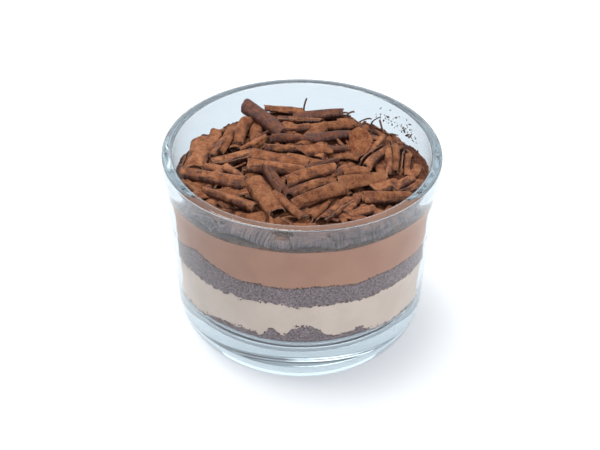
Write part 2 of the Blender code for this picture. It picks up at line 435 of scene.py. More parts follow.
def frontness(points):
    """1 where the bottom sponge is pressed to the wall, in front and a little to the left,
    falling to 0 beyond 45 degrees either way."""
    radius = np.hypot(points[..., 0], points[..., 1]) + 1e-9
    towards = (points @ np.array([np.cos(FRONT_ANGLE), np.sin(FRONT_ANGLE), 0.0])) / radius
    low, high = FRONT_SECTOR
    return np.clip((towards - low) / (high - low), 0, 1)


def crumb_top(points):
    """Torn bottom sponge: a lump and small peaks, thin at the wall except in front."""
    plan = flat(points)
    radius = np.hypot(points[..., 0], points[..., 1])
    edge = np.clip(radius / float(inside_radius(CRUMB_TOP)), 0, 1) ** 8
    torn = (0.20 * MM * relief(plan, 5 * MM, 1) + 0.20 * MM * relief(plan, 1.5 * MM, 2)
            + 0.10 * MM * relief(plan, 0.8 * MM, 12))
    lump = sum(hump(points, *shape) for shape in CRUMB_HUMPS)
    fall = CRUMB_FALL * edge * (1 - frontness(points))
    return CRUMB_TOP - 0.3 * MM + torn + lump - fall


def cream_top(points):
    """Cream under the middle sponge, pitted by its crumbs."""
    plan = flat(points)
    return (CREAM_TOP + 0.15 * MM * relief(plan, 22 * MM, 3) + 0.22 * MM * relief(plan, 3 * MM, 4)
            + 0.24 * MM * relief(plan, 1.1 * MM, 5))


def sponge_top(points):
    """Middle sponge under the mousse, higher at the front left."""
    plan = flat(points)
    rise = sum(hump(points, *shape) for shape in SPONGE_HUMPS)
    return (SPONGE_TOP + rise + 0.3 * MM * relief(plan, 14 * MM, 6)
            + 0.14 * MM * relief(plan, 1.5 * MM, 7))


def mousse_top(points):
    """Mousse, smoothed with a spoon: a plane a little higher in front."""
    x, y = points[..., 0], points[..., 1]
    return MOUSSE_TOP + 0.006 * x - 0.030 * y + 0.15 * MM * relief(flat(points), 20 * MM, 8)


# %% [markdown]
# A layer's grid has rings over its underside, rows up its side and rings over its top.
# Rings crowd towards the wall, because only the edge is seen. Where the underside is
# the cup's own floor, it follows the rounded corner.

# %% Build a layer between two surfaces


LAYER_COLUMNS = 640
LAYER_RINGS = 8
EDGE_RINGS = 16
AIR_FILM = 0.08 * MM
CRUMB_FILM = 0.15 * MM
STEEP = np.radians(15)
CONTACT_FROM, CONTACT_BLEND, CONTACT_WANDER = 0.28, 0.2, 0.02


def crumb_bottom(radius, reach):
    """Underside of the bottom sponge. It is pressed to the glass only where the rounded
    corner is as good as wall. Below, dry crumbs rest on the glass with a film of air,
    which mirrors all light from the side: so a thick base looks bright and not brown."""
    lifted = floor_level(radius + CRUMB_FILM, 0.0) + CRUMB_FILM
    steep = radius - CORNER_CENTRE > CORNER * np.cos(STEEP)
    return np.where(steep, floor_level(radius, reach), lifted)


def wetted(reach, around, height):
    """How far a layer reaches into the glass: the whole reach in front; towards the sides
    and behind it ends a film of air short of the wall. The line between wanders."""
    points = INSIDE_AT_MOUSSE * around + np.stack([0 * height, 0 * height, height], axis=-1)
    wander = CONTACT_WANDER * relief(points, 9 * MM, 11)
    contact = np.clip((-around[..., 1] - CONTACT_FROM + wander) / CONTACT_BLEND, 0, 1)
    return contact * reach - (1 - contact) * AIR_FILM


def layer_points(under, over, full_reach, inner_rings, side_rows):
    """Closed surface between two height functions, out to the wall as wetted says.

    Returns its points and its number of rings. under None is the floor of the cup."""
    share = np.concatenate([np.linspace(0.12, 0.9, inner_rings),
                            np.linspace(0.91, 0.998, EDGE_RINGS)])
    angle = np.linspace(0, 2 * np.pi, LAYER_COLUMNS, endpoint=False)
    around = np.stack([np.cos(angle), np.sin(angle), 0 * angle], axis=-1)
    edge = INSIDE_AT_MOUSSE * around
    top_edge = over(edge)
    low_edge = under(edge) if under else np.minimum(FLOOR + CORNER, top_edge) - 0.05 * MM
    discs = []
    for heights, shares in ((low_edge, share), (top_edge, share[::-1])):
        reach = wetted(full_reach, around, heights)
        radius = shares[:, None] * inside_radius(heights, reach)
        disc = radius[..., None] * around
        spread = disc / inside_radius(heights, reach)[:, None] * INSIDE_AT_MOUSSE
        if heights is top_edge:
            disc[..., 2] = over(spread)
        else:
            disc[..., 2] = under(spread) if under else crumb_bottom(radius, reach)
        discs.append(disc)
    climb = np.linspace(0, 1, side_rows)[:, None]
    height = low_edge + climb * (top_edge - low_edge)
    reach = wetted(full_reach, around, height)
    side = inside_radius(height, reach)[..., None] * around
    side[..., 2] = height
    rings = np.concatenate([discs[0], side, discs[1]])
    poles = [[(0.0, 0.0, disc[..., 2][ring].mean())] for disc, ring in zip(discs, (0, -1))]
    return np.concatenate([poles[0], rings.reshape(-1, 3), poles[1]]), len(rings)


def build_layer(name, node, under, over, reach, material, side_rows):
    """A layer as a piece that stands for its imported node."""
    points, rings = layer_points(under, over, reach, LAYER_RINGS, side_rows)
    return make_piece(name, points, lathe_faces(rings, LAYER_COLUMNS), material, node)


print("a layer has a column every %.2f mm of the wall"
      % (2000 * np.pi * INSIDE_AT_MOUSSE / LAYER_COLUMNS))

# %% [markdown]
# Cocoa sponge is dark with a fine open crumb: pale contact spots where it touches the
# glass and dark pores between them. Its pores are about half a millimetre wide.

# %% Material: cocoa sponge


def cocoa_sponge():
    """Dark crumb: mottled by pores, with grains and a matte, rough surface."""
    material, tree = new_material("baked cocoa sponge")
    place = object_place(tree)
    pores = noise(tree, place, 0.55, 3.0, 0.75)
    patches = noise(tree, place, 5, 2.0)
    crumb = blend_colours(tree, stretch(tree, pores, 0.30, 0.70),
                          linear("#271919"), linear("#9F898E"))
    colour = blend_colours(tree, stretch(tree, patches, 0.45, 1.1), crumb, linear("#5E4F50"))
    close_graph(tree, {"Base Color": colour, "Roughness": 0.9, "IOR": 1.45,
                       "Normal": bumped(tree, pores, 0.6, 0.3 * MM)})
    return material


SPONGE = cocoa_sponge()

# %% [markdown]
# Whipped cream and mousse are smooth foams. What the eye sees is a soft, even colour
# with faint clouds and a few tiny air bubbles at the glass.

# %% Materials: vanilla cream and chocolate mousse


def foam(name, light, dark, bubble, roughness):
    """Smooth foam: faint clouds of two near colours, and rare darker bubble dimples."""
    material, tree = new_material(name)
    place = object_place(tree)
    clouds = noise(tree, place, 7, 3.0)
    bubbles = add_node(tree, "ShaderNodeTexVoronoi",
                       {"Vector": place, "Scale": per_mm(1.6)}, feature="F1")
    body = blend_colours(tree, stretch(tree, clouds, 0.3, 0.7), linear(light), linear(dark))
    dimple = stretch(tree, bubbles.outputs["Distance"], 0.16, 0.05)
    colour = blend_colours(tree, dimple, body, linear(bubble))
    close_graph(tree, {"Base Color": colour, "Roughness": roughness, "IOR": 1.4,
                       "Normal": bumped(tree, clouds, 0.3, 0.2 * MM)})
    return material


CREAM = foam("whipped vanilla cream", "#DEC5B5", "#D6BDAD", "#C7AE9E", 0.5)
MOUSSE = foam("whipped chocolate mousse", "#B37D62", "#AB755B", "#9B674F", 0.55)

# %% Spoon in the layers
build_layer("bottom_sponge", "crumb_base", None, crumb_top, 0.10 * MM, SPONGE,
            10)
build_layer("vanilla_cream", "cream", crumb_top, cream_top, 0.06 * MM, CREAM,
            24)
build_layer("middle_sponge", "sponge", cream_top, sponge_top, 0.10 * MM, SPONGE,
            16)
build_layer("chocolate_mousse", "mousse", sponge_top, mousse_top, 0.06 * MM, MOUSSE,
            24)

# %% [markdown]
# ## The heap: its bed
# Under the curls lies a bed of small shavings and cocoa. It is one grid bent over the
# mousse, with relief as coarse as the shavings, and it stays low, so that the gaps
# between the curls are deep and dark. Its colour is darker than cocoa: painted shade
# for those gaps.

# %% Material and bed of the heap


def heap_rise(x, y):
    """Height of the heap's mound over the wall's level: a dome with its crown in front."""
    radius = np.hypot(x, y + 8 * MM) / (47 * MM)
    return np.clip(1 - radius ** 2, 0, 1)


def bed_top(points):
    """Bed of the heap: a low dome on the mousse with coarse and fine relief."""
    plan = flat(points)
    dome = 0.7 * MM * heap_rise(points[..., 0], points[..., 1])
    radius = np.hypot(points[..., 0], points[..., 1])
    fall = 0.6 * MM * np.clip(radius / INSIDE_AT_MOUSSE, 0, 1) ** 16 * (points[..., 1] < 0)
    slope = hump(points, (0.0375, 0.0030), 10 * MM, 1.8 * MM)
    rough = 0.30 * MM * relief(plan, 3.5 * MM, 9) + 0.20 * MM * relief(plan, 1.1 * MM, 10)
    rise = 0.4 * MM + dome + slope - fall + np.maximum(rough, -0.4 * MM)
    return mousse_top(points) + np.maximum(rise, 0.05 * MM)


def bed_cocoa_and_shade():
    """Cocoa powder and fine shavings: brown, grainy and without any gloss. The dark end is
    darker than cocoa, painted shade for the gaps between the curls.
    """
    material, tree = new_material("cocoa powder and shavings with painted shade")
    grain = noise(tree, object_place(tree), 0.5, 3.0)
    # Painted shade: the near-black end of this blend darkens the gaps between the curls.
    colour = blend_colours(tree, stretch(tree, grain, 0.3, 0.7),
                           linear("#2A130A"), linear("#7A452B"))
    close_graph(tree, {"Base Color": colour, "Roughness": 0.95,
                       "Normal": bumped(tree, grain, 0.8, 0.3 * MM)})
    return material


def bed_under(points):
    """Underside of the bed, pressed a little into the mousse."""
    return mousse_top(points) - 0.1 * MM


BED = bed_cocoa_and_shade()
BED_RINGS, BED_SIDE_ROWS = 28, 6
bed_points, bed_rings = layer_points(bed_under, bed_top, 0.04 * MM, BED_RINGS, BED_SIDE_ROWS)
make_piece("shavings_bed", bed_points, lathe_faces(bed_rings, LAYER_COLUMNS), BED,
           "curl_heap")

# %% [markdown]
# ## The curls
# A chocolate curl is a thin sheet, planed off a block, that rolls itself up. Its cross
# section is a spiral with a wall less than half a millimetre thick. So each curl is a
# grid: one way runs along the roll, the other runs along the spiral on its outer face
# and back on its inner face. All curls of a kind are worked out together as one array.

# %% The shape of a rolled sheet

CURL_WALL = 0.42 * MM


def roll_sheets(curls, across, along, seed):
    """Points of many rolled sheets at once, shaped (curls, along, 2 * across, 3).

    For a share a of the sheet from its outer edge, the angle is start + 2 pi turns a and
    the radius shrinks evenly by one pitch a turn; the outer edge itself is torn and lifts.
    The section is pressed out of round: |cos|^p + |sin|^p = 1, flattened in height.
    The face lies half a wall outside or inside of that. The ends are cut slanting and
    uneven, the roll tapers, bows and slides like a pulled out tube, and it is then
    tilted, turned to its heading and put in its place. Also returned for each point:
    the sheet's own coordinates, how far it faces up, and how near the sheet's rim is."""
    draw = np.random.default_rng(seed)
    count = len(curls["x"])

    def drawn(low, high):
        return draw.uniform(low, high, count)[:, None, None]

    def given(key):
        return curls[key][:, None, None]

    step = np.linspace(0, 1, across)
    step = 0.7 * step + 0.15 * (1 - np.cos(np.pi * step))
    share = np.concatenate([step, step[::-1]])[None, None, :]
    side = np.repeat([0.5, -0.5], across)[None, None, :]
    place = np.sin(np.pi / 2 * np.linspace(-1, 1, along))[None, :, None]
    torn_edge = (0.10 * np.sin(4 * place + drawn(0, 6)) + 0.05 * np.sin(11 * place + drawn(0, 6))
                 + 0.04 * np.sin(27 * place + drawn(0, 6)))
    angle = (given("start") + 2 * np.pi * given("turns") * share
             + torn_edge * np.exp(-share * given("turns") / 0.08))
    pitch = np.minimum(CURL_WALL * drawn(1.5, 2.4), 0.66 * given("radius") / given("turns"))
    thin = 1 - 0.6 * np.abs(2 * share - 1) ** 24
    radius = (given("radius") - pitch * given("turns") * share
              + side * CURL_WALL * given("wall") * thin)
    radius = radius + given("lifted") * np.exp(-share * given("turns") / 0.09)
    power, fold = drawn(2.0, 3.4), angle + drawn(0, 6) + 0.3 * np.sin(2 * place + drawn(0, 6))
    folded = (np.abs(np.cos(fold)) ** power + np.abs(np.sin(fold)) ** power) ** (-1 / power)
    radius = radius * folded * (1 + drawn(-0.2, 0.2) * place
                                + 0.07 * np.sin(2 * angle + drawn(0, 6)))
    radius = radius + 0.08 * MM * np.sin(angle + drawn(0, 6)) * np.cos(2.6 * place + drawn(0, 6))
    radius = radius + given("ribs") * np.abs(
        np.sin(np.pi * place * given("length") / (1.5 * MM) + 1.2 * np.sin(angle)))
    slant = drawn(0.1, 0.6) * given("radius") * np.sin(angle + drawn(0, 6))
    torn = (0.16 * np.sin(3 * angle + drawn(0, 6)) + 0.10 * np.sin(7 * angle + drawn(0, 6))
            + 0.07 * np.sin(15 * angle + drawn(0, 6))) * MM
    slide = drawn(-1.8, 1.8) * MM * (share - 0.3) * (given("turns") > 1)
    length = given("length") / 2 * place + (slant + torn) * np.abs(place) ** 4 + slide
    local_y = radius * np.cos(angle) + drawn(-0.7, 0.7) * MM * place ** 2
    local_z = radius * np.sin(angle) * drawn(0.68, 0.95) - 0.3 * MM * place ** 2
    tilt, heading = given("tilt"), given("heading")
    flat_x = length * np.cos(tilt) - local_z * np.sin(tilt)
    world_z = length * np.sin(tilt) + local_z * np.cos(tilt) + given("z")
    world_x = flat_x * np.cos(heading) - local_y * np.sin(heading) + given("x")
    world_y = flat_x * np.sin(heading) + local_y * np.cos(heading) + given("y")
    points = np.stack(np.broadcast_arrays(world_x, world_y, world_z), axis=-1)
    peel = np.stack(np.broadcast_arrays(length, angle * given("radius"), given("tone")), axis=-1)
    # How far a face looks up: cocoa settles there; the bare, dark faces below are painted shade.
    outward = np.broadcast_to(np.sin(angle) * np.sign(side), points.shape[:-1])
    from_end = (1 - np.abs(place)) * given("length") / 2
    from_edge = np.minimum(share, 1 - share) * given("turns") * given("radius") * 2 * np.pi
    # How near the sheet's rim is, where a painted highlight goes.
    rim_highlight = np.exp(-np.minimum(from_end, from_edge) / (0.25 * MM))
    return points, peel, outward, np.broadcast_to(rim_highlight, points.shape[:-1])


def sheet_set_faces(count, along, ring):
    """Faces of many rolled sheets: the closed strip round each, and both its ends."""
    body = grid_faces(along, ring, closed=True)
    half = ring // 2
    step = np.arange(half - 1)
    cap = np.stack([step, step + 1, ring - 2 - step, ring - 1 - step], axis=-1)
    last = cap[:, ::-1] + (along - 1) * ring
    faces = np.concatenate([body[:, ::-1], cap[:, ::-1], last[:, ::-1]])
    first = (np.arange(count) * along * ring)[:, None, None]
    return (faces[None] + first).reshape(-1, 4)


# %% [markdown]
# ## Where the curls lie
# The big curls on top give the heap its look, so each has a row of its own: place,
# heading, length and radius in millimetres and degrees, how far it is lifted above the
# mound, and its tilt. Most of these rows are worked-out places, not choices made by
# hand. The rest are drawn at random and fill the gaps.

# %% The curls with a row of their own
# x, y, heading, length, radius, lift, tilt
LAID_ROLLS = np.array([
    (5.3, -23.2, 55, 9.5, 1.7, -0.3, 0), (-6, 33.5, -14, 13, 1.3, 1, 2),
    (-19.7, 18.7, -100, 12.5, 1.9, 1, -6), (-15.2, 20.6, -88, 12, 1.7, 0.2, 0),
    (-26, 11, -106, 12.5, 1.1, 0.5, 4), (-21.8, 3.5, 20, 12.5, 2, 0.8, 2),
    (-5, 23, 1, 15, 1.7, 0.3, 0), (-4.7, 10.1, -3, 14, 1.5, 0.4, 0),
    (-26.7, -8, -16, 20, 2, 0.8, 0), (-26.2, -2, -18, 6, 1.2, 0.3, 0),
    (-20.8, -4, -45, 8, 1.3, 0.4, 0), (-21.6, -17.5, -30, 18, 1.9, 0.4, 0),
    (-32, -11, -52, 9, 1.1, 0, 0), (-24.6, -22.5, -33, 13, 1.2, -0.6, 0),
    (2.4, -6.2, 29, 16.8, 2, 0.8, 2), (2.3, -12.1, 32, 13, 1.6, 0.3, 0),
    (4.6, -17.2, 29, 17.4, 2.2, 0.8, 3), (9, 24.4, 8, 15, 1.6, 0.2, 0),
    (22.3, 5.2, -119, 13.4, 1.8, 0.6, 4), (29, 6.5, -93, 14, 1.4, 0.4, -4),
    (32.3, 3.4, -95, 11, 1.4, 0.2, -4), (25.2, -15.9, 6, 14, 2, 0.2, 0),
    (9.9, -22.8, 48, 11.6, 2.1, 0.2, 4), (17.9, -23.3, 35, 9, 1.5, -0.3, 0),
    (30.7, -7.8, 46, 8.5, 1.2, 0.2, 0), (33.4, -9, 47, 7.5, 1.3, 0, 0),
    (11.9, -2.8, 48, 6, 1.2, 0.3, 8), (-1, 28.5, -4, 14, 1.5, 0.2, 0),
])
LAID_PLATES = np.array([
    (-33.6, 7.1, -95, 17, 3.3, -0.6, 2), (-28.7, 13, -102, 15, 2, -0.3, 0),
    (-24, 15, -104, 13, 1.9, -0.2, 0), (-11.4, -17.6, -65, 18, 2.7, 0.4, 0),
    (-7.4, 3.3, -17, 18.5, 2.4, 0.3, 0), (-7.4, -1.6, -8, 17.5, 2.6, -0.1, 0),
    (17.9, -8.1, 16, 15.5, 2.9, 0.2, 2), (3.8, 8.5, 18, 9, 2.2, 0.3, 0),
    (-14.8, 11.7, 42, 10.5, 1.1, 1.2, 6), (-4.2, -21.8, -56, 15, 1.5, 0.9, 0),
    (23.5, 13, -113, 12, 1, 1.2, 5), (26.7, 3, -92, 14, 1.1, 0.6, 0),
    (15.3, -19.5, 65, 10, 1.4, 0.2, 0), (35, -0.7, 68, 7, 1.4, 0, 0),
    (17, -2.2, 4, 8, 1.9, 0, 4), (26, -9, 30, 9, 2.4, -0.4, 0),
])
LAID_DARK = np.array([
    (5, 31.3, 9, 16.5, 1.7, 0.4, 4), (8.6, 17.3, 11, 15, 1.7, 0.3, 0),
    (-4, 16.2, -2, 13, 1.4, 0.3, 0), (-7.4, -10.3, -66, 15, 2.1, 1, 0),
    (10.5, 10.7, 3, 7.5, 1.4, 0.1, 0), (5.3, 0.6, 29, 11.5, 1.4, 0.4, 0),
    (-13.6, 27, -43, 17, 2.8, 2.4, -13),
])
LAID_RIBBED = np.array([
    (-34.8, -16, -60, 9, 1.6, -0.9, 0),
    (-29.2, -24.2, -50, 12, 1.7, -0.7, 0), (-16.5, -33.4, -26, 16, 2.2, -0.1, 0),
    (-6.5, -36.4, -12, 8, 1.4, -0.8, 6), (3.2, -35.6, 6, 11.5, 2.6, 0.3, -5),
    (15.8, -34.2, 24, 12.5, 1.5, -0.9, 3), (25, -28.4, 44, 10, 1.9, -0.4, 0),
    (31.2, -20.6, 58, 10, 1.7, -0.7, 0), (-25.5, -28, -44, 9, 1.3, 2, 8),
    (12, -34.8, 18, 9, 1.5, 1.8, 4), (20.5, -30.8, 34, 8, 1.3, 1.8, -4),
])
LAID_SLIVERS = np.array([
    (0.5, 33.5, 80, 6, 0.2, 2.2, 62), (23, 27, -55, 7, 0.45, 1.6, 48),
    (25.5, 23, 110, 6, 0.35, 1.2, 35), (28.3, 19, -78, 8, 0.4, 1.4, 30),
    (15, 32.5, 25, 4, 0.4, 0.8, 25), (20.5, 28.5, -30, 5, 0.35, 1.2, 30),
    (32, 14, -80, 7, 0.4, 0.8, 20), (12, 33.5, -20, 5, 0.5, 0.6, 15),
    (18.5, 22, 60, 6, 0.5, 1.6, 20), (-14, 13, 50, 9, 0.45, 2.2, 12),
    (30.5, -12, 20, 6, 0.4, 1, 10), (-30, -4, -30, 6, 0.4, 1.2, 10),
])
print(sum(map(len, (LAID_ROLLS, LAID_PLATES, LAID_DARK, LAID_RIBBED, LAID_SLIVERS))),
      "curls and slivers have a row of their own")

# %% Turn the rows into arrays


def axis_height(x, y):
    """Height at which a curl's axis lies on the heap, before its lift."""
    return MOUSSE_TOP + 2.0 * MM + 1.8 * MM * heap_rise(x, y)


def keep_inside(curls):
    """Pull in each curl whose ends would reach the glass, towards the cup's middle."""
    for _ in range(4):
        for end in (-0.5, 0.5):
            x = curls["x"] + end * curls["length"] * np.cos(curls["heading"])
            y = curls["y"] + end * curls["length"] * np.sin(curls["heading"])
            room = inside_radius(curls["z"]) - 1.15 * curls["radius"] - 0.4 * MM
            over = np.clip(np.hypot(x, y) / room - 1, 0, None)
            curls["x"] = curls["x"] - x * over
            curls["y"] = curls["y"] - y * over
    return curls


def curls_from_rows(rows, turns, seed, ribs=0.0):
    """Arrays for roll_sheets from rows of x, y, heading, length, radius, lift and tilt.

    turns is a range; under one turn the sheet arches over with its gap underneath."""
    draw = np.random.default_rng(seed)
    count = len(rows)
    x, y = rows[:, 0] * MM, rows[:, 1] * MM
    turn = draw.uniform(*turns, count)
    centred = np.pi / 2 - np.pi * turn + draw.uniform(-0.3, 0.3, count)
    anywhere = draw.uniform(0.2, 2.9, count)
    return keep_inside({
        "x": x, "y": y, "z": axis_height(x, y) + rows[:, 5] * MM,
        "heading": np.radians(rows[:, 2]), "tilt": np.radians(rows[:, 6]),
        "length": rows[:, 3] * MM, "radius": rows[:, 4] * MM, "turns": turn,
        "start": np.where(turn < 1, centred, anywhere),
        "lifted": np.where(turn < 1, 0.0, draw.uniform(0.1, 0.7, count)) * MM,
        "wall": draw.uniform(0.8, 1.2, count), "tone": draw.uniform(0, 1, count),
        "ribs": (0.04 + ribs * draw.uniform(0.6, 1.2, count)) * MM,
    })


def store_finish(piece, dust_and_shade, rim_highlight, tone, peel):
    """Store what the curls' material reads at each point."""
    set_attribute(piece, "dust_and_shade", "FLOAT", dust_and_shade)
    set_attribute(piece, "rim_highlight", "FLOAT", rim_highlight)
    set_attribute(piece, "tone", "FLOAT", tone)
    set_attribute(piece, "peel", "FLOAT_VECTOR", peel)


def make_curls(name, curls, across, along, material, seed, dust_and_shade):
    """One piece from many rolled sheets. The cover given is how well cocoa covers them, 0 to
    1; more of it lies on what faces up, and the bare, dark faces below are also painted
    shade. Where each sheet's thin rim lies is stored for a painted highlight."""
    points, peel, outward, rim_highlight = roll_sheets(curls, across, along, seed)
    faces = sheet_set_faces(len(curls["x"]), along, 2 * across)
    piece = make_piece(name, points.reshape(-1, 3), [faces], material,
                       "curl_heap")
    tone = np.broadcast_to(curls["tone"][:, None, None], rim_highlight.shape)
    # Real cocoa on top, and bare dark faces below as painted shade under each curl.
    cover = dust_and_shade * (0.35 + 0.65 * outward) + 0.3 * (tone - 0.5)
    store_finish(piece, np.clip(cover, 0.0, 1.0), rim_highlight, tone, peel)


# %% [markdown]
# ## The curls' finish
# Milk chocolate breaks with a waxy, purplish brown; cocoa powder on it is a warm, dull
# orange brown that clings in grains. The blade leaves fine lines round each roll. Single
# grains of cocoa are too fine to see, so the pattern shows clumps 0.42 mm wide.

# %% Material: milk chocolate under cocoa


def dusted_chocolate(name, bare_dark, bare_light, dust_dark, dust_light, rim_highlight_colour):
    """Chocolate planed by a blade, with cocoa clinging where the stored cover says; that
    cover also paints shade under the curls. The sheet's rim gets a painted highlight.
    """
    material, tree = new_material(name)
    place = object_place(tree)

    def stored(attribute, output="Fac"):
        return add_node(tree, "ShaderNodeAttribute", attribute_name=attribute).outputs[output]

    def sheet_noise(along_mm, round_mm):
        scaled = add_node(tree, "ShaderNodeMapping", {
            "Vector": stored("peel", "Vector"), "Scale": (per_mm(along_mm), per_mm(round_mm), 9.0)})
        return add_node(tree, "ShaderNodeTexNoise", {
            "Vector": scaled.outputs[0], "Scale": 1.0, "Detail": 2.0}).outputs["Fac"]

    blade, streak = sheet_noise(0.45, 7), sheet_noise(3.5, 0.8)
    grain = noise(tree, place, 0.42, 3.0, 0.8)
    patch = noise(tree, place, 2.8, 3.0, 0.65)
    # The stored cover holds both cocoa and painted shade on the curls' undersides.
    clumps = added(tree, stored("dust_and_shade"), added(tree, patch, streak))
    cover = stretch(tree, clumps, 1.32, 1.8)
    bare = blend_colours(tree, stretch(tree, blade, 0.3, 0.7),
                         linear(bare_dark), linear(bare_light))
    thick = added(tree, grain, patch)
    powder = blend_colours(tree, stretch(tree, thick, 0.68, 1.30),
                           linear(dust_dark), linear(dust_light))
    coated = blend_colours(tree, cover, bare, powder)
    toned = blend_colours(tree, between(tree, stored("tone"), 0.0, 0.34),
                          coated, linear(bare_dark))
    # Painted highlight: the thin rim of each sheet turns pale, as if its edge caught light.
    colour = blend_colours(tree, stretch(tree, stored("rim_highlight"), 0.5, 1.1),
                           toned, linear(rim_highlight_colour))
    grit = bumped(tree, thick, 0.7, 0.27 * MM)
    close_graph(tree, {
        "Base Color": colour, "Roughness": between(tree, cover, 0.42, 0.92), "IOR": 1.46,
        "Specular IOR Level": 0.3, "Normal": bumped(tree, blade, 0.5, 0.12 * MM, grit)})
    return material


# The last colour of each material is the painted highlight on the sheets' rims.
DUSTED = dusted_chocolate("milk chocolate dusted with cocoa",
                          "#301A14", "#6F4B40", "#783F27", "#CB8B63", "#A67F6B")
BARE = dusted_chocolate("milk chocolate with little cocoa",
                        "#3A211C", "#6E4A42", "#653A2C", "#98664F", "#8A6D62")
# Painted reflection: pale lilac colours for the glass's haze over the curls behind it.
GLASS_HAZE_CHOCOLATE = dusted_chocolate("milk chocolate with the glass haze painted on",
                        "#402C2E", "#AE9292", "#7A564C", "#C09A8C", "#AC9694")

# %% Roll the curls that have a row of their own
make_curls("laid_rolls", curls_from_rows(LAID_ROLLS, (1.2, 1.9), 21), 34, 20, DUSTED, 31, 0.8)
make_curls("laid_plates", curls_from_rows(LAID_PLATES, (0.34, 0.55), 22, 0.06), 24, 24,
           DUSTED, 32, 0.9)
make_curls("dark_rolls", curls_from_rows(LAID_DARK, (1.2, 1.7), 23), 34, 20, BARE, 33, 0.7)
# The rolls against the front wall take the painted glass haze.
make_curls("ribbed_rolls", curls_from_rows(LAID_RIBBED, (1.1, 1.6), 24, 0.07), 34, 32,
           GLASS_HAZE_CHOCOLATE, 34, 0.6)

# Slivers come from the blade's edge and are half as thick.
slivers = curls_from_rows(LAID_SLIVERS, (0.5, 0.9), 25)
slivers["wall"] = slivers["wall"] * 0.5
make_curls("slivers", slivers, 8, 8, BARE, 35, 0.6)

# %% [markdown]
# The curls beneath are drawn on a spiral of evenly spread places, so that they fill
# the heap without leaving holes. Against the glass they lie along the wall.

# %% Draw the curls underneath


def filling_rows(count, reach, lift, lengths, radii, seed, along_wall=False):
    """Rows for curls_from_rows, spread like the seeds of a sunflower: each place turns on
    by the golden angle, at a radius that grows as the square root of its number."""
    draw = np.random.default_rng(seed)
    number = np.arange(count) + 0.5
    angle = number * np.pi * (3 - np.sqrt(5)) + draw.uniform(0, 0.5, count)
    radius = reach * np.sqrt(number / count)
    heading = draw.uniform(0, 180, count)
    if along_wall:
        radius = np.full(count, reach) + draw.uniform(-1.5, 1.0, count)
        angle = 2 * np.pi * number / count
        heading = np.degrees(angle) + 90 + draw.normal(0, 16, count)
    return np.stack([radius * np.cos(angle), radius * np.sin(angle), heading,
                     draw.uniform(*lengths, count), draw.uniform(*radii, count),
                     lift + draw.uniform(-0.5, 0.5, count), draw.normal(0, 5, count)], axis=1)


make_curls("under_rolls", curls_from_rows(
    filling_rows(60, 33.0, -2.6, (10, 16), (1.5, 2.2), 41), (1.1, 1.7), 51),
    22, 12, DUSTED, 61, 0.7)
make_curls("under_plates", curls_from_rows(
    filling_rows(46, 33.0, -1.9, (8, 14), (1.6, 2.8), 44), (0.3, 0.5), 54),
    14, 12, DUSTED, 64, 0.9)
make_curls("wall_rolls", curls_from_rows(
    filling_rows(22, 35.5, -2.0, (9, 14), (1.2, 1.8), 42, along_wall=True), (1.0, 1.7), 52),
    20, 12, DUSTED, 62, 0.6)
make_curls("small_shards", curls_from_rows(
    filling_rows(70, 35.0, -0.8, (2.5, 6), (0.5, 1.3), 43), (0.15, 0.4), 53),
    6, 5, DUSTED, 63, 0.8)

# %% [markdown]
# One shaving is not a roll but a cupped leaf, leaning against the rest on its edge. It
# is a disc with a front and a back, worked out in rings from its middle.

# %% The cupped leaf


def cupped_leaf(place, width, height, lean, thickness, rings, columns):
    """Points of a leaf: an uneven oval disc, cupped as the square of its radius, whose
    front and back lie half a thickness apart and meet at its edge."""
    share = np.concatenate([np.linspace(0.15, 1, rings), np.linspace(1, 0.15, rings)[1:]])
    side = np.repeat([0.5, -0.5], [rings, rings - 1]) * (1 - share ** 8)
    angle = np.linspace(0, 2 * np.pi, columns, endpoint=False)
    edge = 1 + 0.05 * np.sin(3 * angle + 1) + 0.03 * np.sin(8 * angle)
    across = width / 2 * share[:, None] * edge * np.cos(angle)
    upward = height / 2 * share[:, None] * edge * np.sin(angle)
    depth = (0.18 * width * share ** 2 + thickness * side)[:, None] + 0.0 * across
    y = -depth * np.cos(lean) + upward * np.sin(lean)
    z = depth * np.sin(lean) + upward * np.cos(lean)
    body = np.stack([across, y, z], axis=-1).reshape(-1, 3)
    tips = np.array([[0.0, -np.cos(lean), np.sin(lean)]]) * thickness / 2
    return np.concatenate([tips, body, -tips]) + np.array(place)


LEAF_RINGS, LEAF_COLUMNS = 9, 40
leaf_points = cupped_leaf((18.0 * MM, 12.5 * MM, 57.4 * MM), 7.4 * MM, 9.5 * MM,
                          np.radians(38), 0.5 * MM, LEAF_RINGS, LEAF_COLUMNS)
leaf = make_piece("cupped_leaf", leaf_points, lathe_faces(2 * LEAF_RINGS - 1, LEAF_COLUMNS),
                  DUSTED)
everywhere = np.ones(len(leaf_points))
store_finish(leaf, 0.9 * everywhere, 0 * everywhere, 0.1 * everywhere, leaf_points)

# %% [markdown]
# ## Loose grains
# Crumbs of sponge stick out of the lines between the layers, and cocoa sticks to the
# glass above the heap. Each grain is a small uneven ball of a few dozen faces, and all
# grains of a kind are one piece.

# %% Grains as one array

GRAIN_RINGS, GRAIN_COLUMNS = 3, 6


